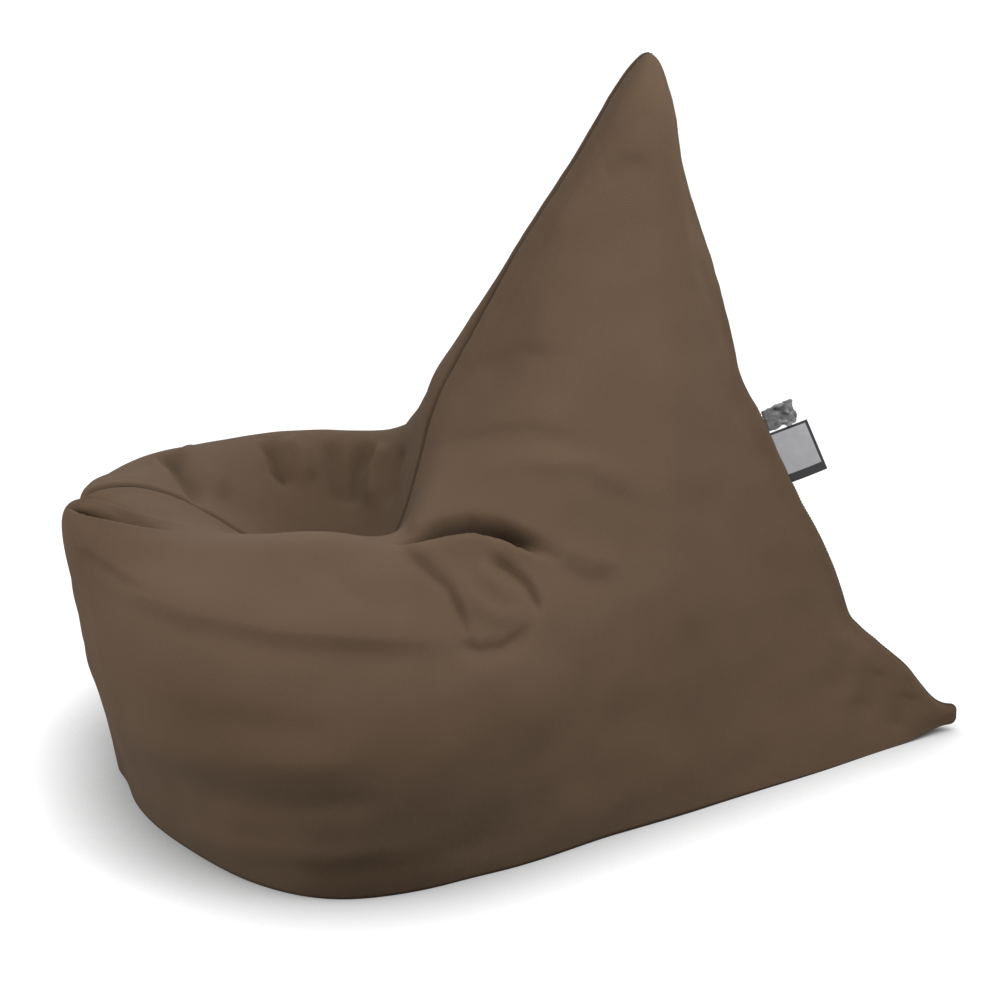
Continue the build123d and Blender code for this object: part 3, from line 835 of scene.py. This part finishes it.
class BEANBAG_OT_stitches(bpy.types.Operator):
    """Sew the line of stitches along the seam, on the right panel"""
    bl_idname = "beanbag.stitches"
    bl_label = "Seam stitches"

    def execute(self, context):
        settings = context.scene.bean_cover
        line, inward = stitch_line(shaped_panels()[1][0], settings.stitch_off)
        steps = np.linalg.norm(np.diff(line, axis=0), axis=1)
        way = np.concatenate([[0], np.cumsum(steps)])
        verts, faces = [], []
        for centre in np.arange(STITCHES_FROM, way[-1] - STITCHES_SHORT, settings.stitch_pitch):
            faces += stitch_faces(len(verts))
            verts += stitch_points(centre, settings.stitch_length, way, line, -inward)
        thread = new_object("seam_stitches", verts, faces)
        finished(thread, thread_material("seam_thread", tuple(settings.thread)), "cover_cloth")
        return {"FINISHED"}


def thread_material(name, colour):
    """Twisted sewing thread."""
    material, shade, surface = new_material(name, 0.6, Sheen_Weight=0.2)
    solid = shade.node("ShaderNodeTexCoord", out=3)
    twist = shade.node(
        "ShaderNodeTexWave", Vector=solid, Scale=900.0, Distortion=1.5, Detail=1.0, out=1)
    linked(twist.mixed(rgba(colour, 0.8), rgba(colour, 1.25)), surface, "Base Color")
    bumped(surface, twist, 0.3, 0.0001)
    return material


# The filling's mesh, and how far inside the solid it lies, clear of the cover's folds, in metres.
BEADS_VOXEL = 0.012
BEADS_INSIDE = 0.016


class BEANBAG_OT_beads(bpy.types.Operator):
    """Make the bead filling, a little inside the cover"""
    bl_idname = "beanbag.beads"
    bl_label = "Bead filling"

    def execute(self, context):
        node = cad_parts["bead_fill"]
        mesh = node.data.copy()
        fill = bpy.data.objects.new("bead_filling", mesh)
        context.scene.collection.objects.link(fill)
        weld(fill, 1e-5)
        apply_modifier(fill, "REMESH", mode="VOXEL", voxel_size=BEADS_VOXEL)
        apply_modifier(fill, "SMOOTH", factor=0.5, iterations=3)
        only(fill)
        bpy.ops.object.mode_set(mode="EDIT")
        bpy.ops.mesh.select_all(action="SELECT")
        bpy.ops.transform.shrink_fatten(value=-BEADS_INSIDE)
        bpy.ops.object.mode_set(mode="OBJECT")
        bpy.ops.object.shade_smooth()
        finished(fill, bead_material("filling_beads"), "beads", "bead_fill")
        return {"FINISHED"}


def bead_material(name):
    """White foamed beads, a few millimetres across, with painted shade where they meet."""
    material, shade, surface = new_material(name, 0.55, Subsurface_Weight=0.1)
    solid = shade.node("ShaderNodeTexCoord", out=3)
    bead = shade.node("ShaderNodeTexVoronoi", Vector=solid, Scale=230.0)
    # Painted shade: each bead's colour greys towards its rim, where it meets the next bead,
    # following the cells that bump it.
    white = (1 - bead).mixed(rgba((0.55, 0.55, 0.54)), rgba((0.88, 0.88, 0.87)))
    linked(white, surface, "Base Color")
    bumped(surface, 1 - bead, 0.9, 0.002)
    return material


# The label's four corners on the seam's plane, in millimetres along Y and Z: at the seam above and
# below, then outside below and above.
LABEL_CORNERS = ((279.5, 362.1), (306.5, 304.3), (348.6, 319.7), (322.7, 378.3))
# Its size along and out of the seam and its thickness, in metres, the share of it that is sewn in,
# its mesh, and its dark border's shares outside, above and below.
LABEL_WIDTH = 0.064
LABEL_REACH = 0.045
LABEL_THICKNESS = 0.0010
LABEL_SEWN = 0.05
LABEL_GRID = (36, 48)
BORDER_SHARES = (0.65, 0.55, 2.1)
# The care ribbon's loop: its root on the seam's plane, its way out, its width and its reach, what of
# it is sewn in and how far it opens, in millimetres, its thickness in metres, and its mesh.
CARE_ROOT = (277.0, 377.0)
CARE_OUT = (0.936, 0.351)
CARE_WIDTH = 25.0
CARE_REACH = 34.0
CARE_SEWN = 2.0
CARE_HALF_LOOP = 3.6
CARE_THICKNESS = 0.0003
CARE_GRID = (61, 25)
# Its creases, in millimetres: how far they move it, how large they are, and how far out of the seam
# they reach their full depth. The seed makes them the same on every run.
CRUMPLE = 3.4
CRUMPLE_SIZE = 8.0
CRUMPLE_FULL = 12.0
CARE_SEED = 11


def label_material(name, border):
    """A woven satin tab: a dark border round a bare grey middle."""
    material, shade, surface = new_material(name, 0.45, Sheen_Weight=0.2)
    across, along, _ = shade.node("ShaderNodeUVMap", {"uv_map": "cloth"}).axes()
    outer, upper, lower = (border * share for share in BORDER_SHARES)
    inside = (
        (LABEL_REACH - across).above(outer) * along.above(upper) * (LABEL_WIDTH - along).above(lower)
    )
    weave = (along.threads(2600) * across.threads(1500)) * 0.5 + 0.5
    cloud = shade.speckle(60.0, 4.0)
    grey = (weave * 0.35 + cloud * 0.65).mixed(rgba((0.36, 0.36, 0.38)), rgba((0.64, 0.64, 0.67)))
    dark = weave.mixed(rgba((0.010, 0.010, 0.011)), rgba((0.022, 0.022, 0.024)))
    linked(inside.mixed(dark, grey), surface, "Base Color")
    bumped(surface, weave, 0.3, 0.0002)
    linked((1 - inside) * 0.25 + 0.38, surface, "Roughness")
    return material


def ribbon_material(name):
    """Thin grey see-through ribbon, whose tone follows its crumples, with painted shade in their
    hollows.
    """
    material, shade, surface = new_material(name, 0.4)
    crease = shade.speckle(140.0, 5.0, 0.65)
    # Painted shade: the colour goes dark in the hollows of the noise that also bumps the ribbon, and
    # light on its ridges.
    linked(crease.mixed(rgba((0.03, 0.03, 0.03)), rgba((0.40, 0.40, 0.40))), surface, "Base Color")
    linked(crease * 0.5 + 0.5, surface, "Alpha")
    bumped(surface, crease, 0.6, 0.001)
    return material


class BEANBAG_OT_labels(bpy.types.Operator):
    """Make the side label and the care ribbon in the back seam"""
    bl_idname = "beanbag.labels"
    bl_label = "Labels"

    def execute(self, context):
        settings = context.scene.bean_label
        self.side_label(settings)
        self.care_ribbon()
        return {"FINISHED"}

    def side_label(self, settings):
        top, low, far_low, far_top = (np.array(c) * MM for c in LABEL_CORNERS)
        rows, columns = LABEL_GRID
        points = np.zeros((rows, columns, 3))
        outward = np.linspace(-LABEL_SEWN, 1, rows)
        down = np.linspace(0, 1, columns)
        for i, a in enumerate(outward):
            for j, b in enumerate(down):
                near = top + (low - top) * b
                far = far_top + (far_low - far_top) * b
                y, z = near + (far - near) * a
                bend = math.sin(2.2 * a + 1.3 * b) * max(a, 0) + 0.5 * a * math.sin(5.0 * b)
                points[i, j] = (settings.wave * bend, y, z)
        faces = grid_faces(rows, columns, True)
        label = new_object("side_label_tab", points.reshape(-1, 3), faces)
        flat = np.meshgrid(outward * LABEL_REACH, down * LABEL_WIDTH, indexing="ij")
        add_cloth_map(label, np.stack(flat, -1))
        apply_modifier(label, "SOLIDIFY", thickness=LABEL_THICKNESS, offset=0)
        finished(label, label_material("label_satin", settings.border), "label_satin", "side_label")

    def care_ribbon(self):
        noise.seed_set(CARE_SEED)
        out = np.array((0, *CARE_OUT))
        along = np.array((0, CARE_OUT[1], -CARE_OUT[0]))
        root = np.array((0, *CARE_ROOT))
        rows, columns = CARE_GRID
        points = np.zeros((rows, columns, 3))
        for i, t in enumerate(np.linspace(-1, 1, rows)):
            reach = CARE_REACH * (1 - abs(t) ** 2.2) - CARE_SEWN * abs(t) ** 6
            wide = CARE_HALF_LOOP * math.sin(math.pi * t) * (1 - 0.2 * t)
            for j, s in enumerate(np.linspace(-0.5, 0.5, columns)):
                spot = root + out * reach + along * (s * CARE_WIDTH) + np.array((wide, 0, 0))
                rough = noise.turbulence_vector(Vector(spot) / CRUMPLE_SIZE, 3, False)
                share = min(1.0, reach / CRUMPLE_FULL) if reach > 0 else 0
                points[i, j] = spot + np.array(rough) * CRUMPLE * share
        faces = grid_faces(rows, columns, False)
        ribbon = new_object("care_ribbon_loop", points.reshape(-1, 3) * MM, faces)
        apply_modifier(ribbon, "SOLIDIFY", thickness=CARE_THICKNESS, offset=0)
        finished(ribbon, ribbon_material("care_ribbon"), "care_ribbon", "care_label")


def woven_strip(name, colour, threads):
    """A narrow woven strip, on its place in the object."""
    material, shade, surface = new_material(name, 0.7)
    solid = shade.node("ShaderNodeTexCoord", out=3)
    across, along, _ = solid.axes()
    weave = across.threads(threads) * along.threads(threads) * 0.5 + 0.5
    fleck = shade.speckle(300.0, 3.0)
    tone = weave * 0.5 + fleck * 0.5
    linked(tone.mixed(rgba(colour, 0.7), rgba(colour, 1.3)), surface, "Base Color")
    bumped(surface, weave, 0.4, 0.0003)
    return material


def hard_material(name, colour, metal, roughness):
    """Moulded plastic or plated metal, with fine scuffs."""
    material, shade, surface = new_material(name, roughness, Metallic=metal)
    scuff = shade.speckle(500.0, 4.0, 0.7)
    linked(scuff.mixed(rgba(colour, 0.8), rgba(colour, 1.2)), surface, "Base Color")
    linked(scuff * 0.25 + (roughness - 0.12), surface, "Roughness")
    bumped(surface, scuff, 0.15, 0.0002)
    return material


class BEANBAG_OT_zip(bpy.types.Operator):
    """Finish the zip in the base: cloth strips as new pieces, hard pieces as they are"""
    bl_idname = "beanbag.zip"
    bl_label = "Zip"

    STRIPS = (
        ("left_zip_facing", "left_facing_cloth", "facing_cloth", (0.038, 0.45)),
        ("right_zip_facing", "right_facing_cloth", "facing_cloth", (0.038, 0.45)),
        ("left_zip_tape", "left_tape_weave", "zip_tape", (0.015, 0.396)),
        ("right_zip_tape", "right_tape_weave", "zip_tape", (0.015, 0.396)),
        ("zip_garage", "garage_flap", "facing_cloth", (0.024, 0.042)),
    )

    def execute(self, context):
        facing = woven_strip("facing_weave", tuple(context.scene.bean_cover.colour), 800.0)
        tape = woven_strip("tape_weave", (0.045, 0.031, 0.022), 1300.0)
        for node, name, slot, flat in self.STRIPS:
            strip = bpy.data.objects.new(name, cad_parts[node].data.copy())
            context.scene.collection.objects.link(strip)
            weld(strip, 1e-6)
            apply_modifier(strip, "BEVEL", width=0.00015, segments=2, limit_method="ANGLE")
            only(strip)
            bpy.ops.object.shade_smooth_by_angle(angle=math.radians(40))
            finished(strip, tape if slot == "zip_tape" else facing, slot, node)
        teeth = hard_material("teeth_plastic", (0.040, 0.028, 0.020), 0.0, 0.42)
        metal = hard_material("slider_plating", (0.40, 0.38, 0.35), 1.0, 0.32)
        for node, material in (
            ("left_zip_teeth", teeth), ("right_zip_teeth", teeth), ("zip_slider", metal),
            ("zip_top_stops", metal), ("zip_bottom_stop", metal),
        ):
            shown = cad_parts[node].data
            shown.materials.clear()
            shown.materials.append(material)
        return {"FINISHED"}


def backdrop_rays(shade):
    """1 for rays that show the backdrop, straight or off metal or glass, and 0 for other light."""
    camera = shade.node("ShaderNodeLightPath")
    outputs = camera.socket.node.outputs
    mirrored = Shade(shade.tree, outputs["Is Glossy Ray"])
    through = Shade(shade.tree, outputs["Is Transmission Ray"])
    return shade.maths("MAXIMUM", camera, shade.maths("MAXIMUM", mirrored, through))


class BEANBAG_OT_stage(bpy.types.Operator):
    """Set up the floor, the lights and the photograph's camera"""
    bl_idname = "beanbag.stage"
    bl_label = "Stage"

    # Each light's place and size, in metres, and what they all point at.
    LIGHTS = {
        "key": ((0.62, 0.30, 0.98), 0.5),
        "front": ((0.7, -1.3, 0.52), 0.9),
        "back": ((0.7, 1.2, 1.15), 0.9),
        "far": ((-1.3, 0.2, 1.2), 0.9),
    }
    LIT_POINT = (0, 0, 0.3)
    # The floor just under the chair, how grey it is to the light and to the camera, and how soon the
    # painted shadow in its glow darkens.
    FLOOR_SIZE = 30
    FLOOR_HEIGHT = -0.0002
    FLOOR_BOUNCE = (0.12, 0.12, 0.12)
    FLOOR_SEEN = (0.18, 0.18, 0.18)
    SHADOW_POWER = 1.4

    def execute(self, context):
        settings = context.scene.bean_stage
        self.floor(settings)
        self.world(context, settings)
        for kind, (place, size) in self.LIGHTS.items():
            self.light(kind + "_light", place, size, getattr(settings, kind))
        self.camera(context)
        context.scene.view_settings.view_transform = "Standard"
        return {"FINISHED"}

    def floor(self, settings):
        bpy.ops.object.select_all(action="DESELECT")
        bpy.ops.mesh.primitive_plane_add(size=self.FLOOR_SIZE, location=(0, 0, self.FLOOR_HEIGHT))
        floor = bpy.context.object
        floor.name = "floor"
        material, shade, surface = new_material(
            "floor_white", 0.9, Specular_IOR_Level=0.0, Emission_Strength=1.0)
        path = backdrop_rays(shade)
        grey = path.mixed(rgba(self.FLOOR_BOUNCE), rgba(self.FLOOR_SEEN))
        linked(grey, surface, "Base Color")
        # Painted shadow: for the camera the floor glows white, darkened by ambient occlusion near
        # the chair; the lamps' real shadow adds to it.
        open_sky = shade.node(
            "ShaderNodeAmbientOcclusion", {"samples": 8}, out=1, Distance=settings.painted_shadow_reach)
        black, white = (0, 0, 0, 1), (1, 1, 1, 1)
        glow_with_painted_shadow = (open_sky ** self.SHADOW_POWER).mixed(black, white)
        linked(path.mixed(black, glow_with_painted_shadow), surface, "Emission Color")
        floor.data.materials.append(material)

    def world(self, context, settings):
        """Plain white for rays that show the backdrop, and a sky that dims towards the horizon."""
        world = bpy.data.worlds.new("studio")
        world.use_nodes = True
        shade = Shade(world.node_tree, None)
        back = next(n for n in world.node_tree.nodes if n.type == "BACKGROUND")
        path = backdrop_rays(shade)
        way = shade.node("ShaderNodeSeparateXYZ", out=2, i0=shade.node("ShaderNodeTexCoord"))
        sky = shade.node(
            "ShaderNodeMapRange", {"interpolation_type": "SMOOTHSTEP"},
            Value=way, From_Max=0.9, To_Min=0.1)
        dim = sky * settings.fill
        level = path * (1 - dim) + dim
        shade.tree.links.new(level.socket, back.inputs["Strength"])
        back.inputs["Color"].default_value = (1, 1, 1, 1)
        context.scene.world = world

    def light(self, name, place, size, power):
        data = bpy.data.lights.new(name, "AREA")
        data.shape = "DISK"
        data.size = size
        data.energy = power
        lamp = bpy.data.objects.new(name, data)
        bpy.context.scene.collection.objects.link(lamp)
        lamp.location = place
        lamp.visible_camera = False
        aim = Vector(self.LIT_POINT) - Vector(place)
        lamp.rotation_euler = aim.to_track_quat("-Z", "Y").to_euler()

    def camera(self, context):
        place, _, _, back = camera_axes()
        data = bpy.data.cameras.new("photo_camera")
        data.sensor_width = SENSOR
        data.lens = SENSOR * FOCAL_PIXELS / PICTURE
        data.shift_x = (PICTURE / 2 - AIM_PIXEL[0]) / PICTURE
        data.shift_y = (AIM_PIXEL[1] - PICTURE / 2) / PICTURE
        view = bpy.data.objects.new("photo_camera", data)
        context.scene.collection.objects.link(view)
        view.location = place
        view.rotation_euler = (-back).to_track_quat("-Z", "Y").to_euler()
        context.scene.camera = view


class BEANBAG_PT_sidebar(bpy.types.Panel):
    """The chair's pieces, one button each"""
    bl_idname = "BEANBAG_PT_sidebar"
    bl_label = "Bean bag chair"
    bl_space_type = "VIEW_3D"
    bl_region_type = "UI"
    bl_category = "Bean bag"

    def draw(self, context):
        layout = self.layout
        for name in GROUPS:
            group = getattr(context.scene, name)
            for setting in group.__annotations__:
                layout.prop(group, setting)
        for step in STEPS:
            layout.operator(step.bl_idname)


STEPS = (
    BEANBAG_OT_cover, BEANBAG_OT_stitches, BEANBAG_OT_beads,
    BEANBAG_OT_labels, BEANBAG_OT_zip, BEANBAG_OT_stage,
)
GROUPS = {"bean_cover": CoverSettings, "bean_label": LabelSettings, "bean_stage": StageSettings}


def register():
    for kind in (*GROUPS.values(), *STEPS, BEANBAG_PT_sidebar):
        bpy.utils.register_class(kind)
    for name, group in GROUPS.items():
        setattr(bpy.types.Scene, name, bpy.props.PointerProperty(type=group))


def unregister():
    for name in GROUPS:
        delattr(bpy.types.Scene, name)
    for kind in (BEANBAG_PT_sidebar, *reversed(STEPS), *GROUPS.values()):
        bpy.utils.unregister_class(kind)


def main():
    register()
    bpy.ops.beanbag.cover()
    bpy.ops.beanbag.stitches()
    bpy.ops.beanbag.beads()
    bpy.ops.beanbag.labels()
    bpy.ops.beanbag.zip()
    bpy.ops.beanbag.stage()


if __name__ == "__main__":
    main()
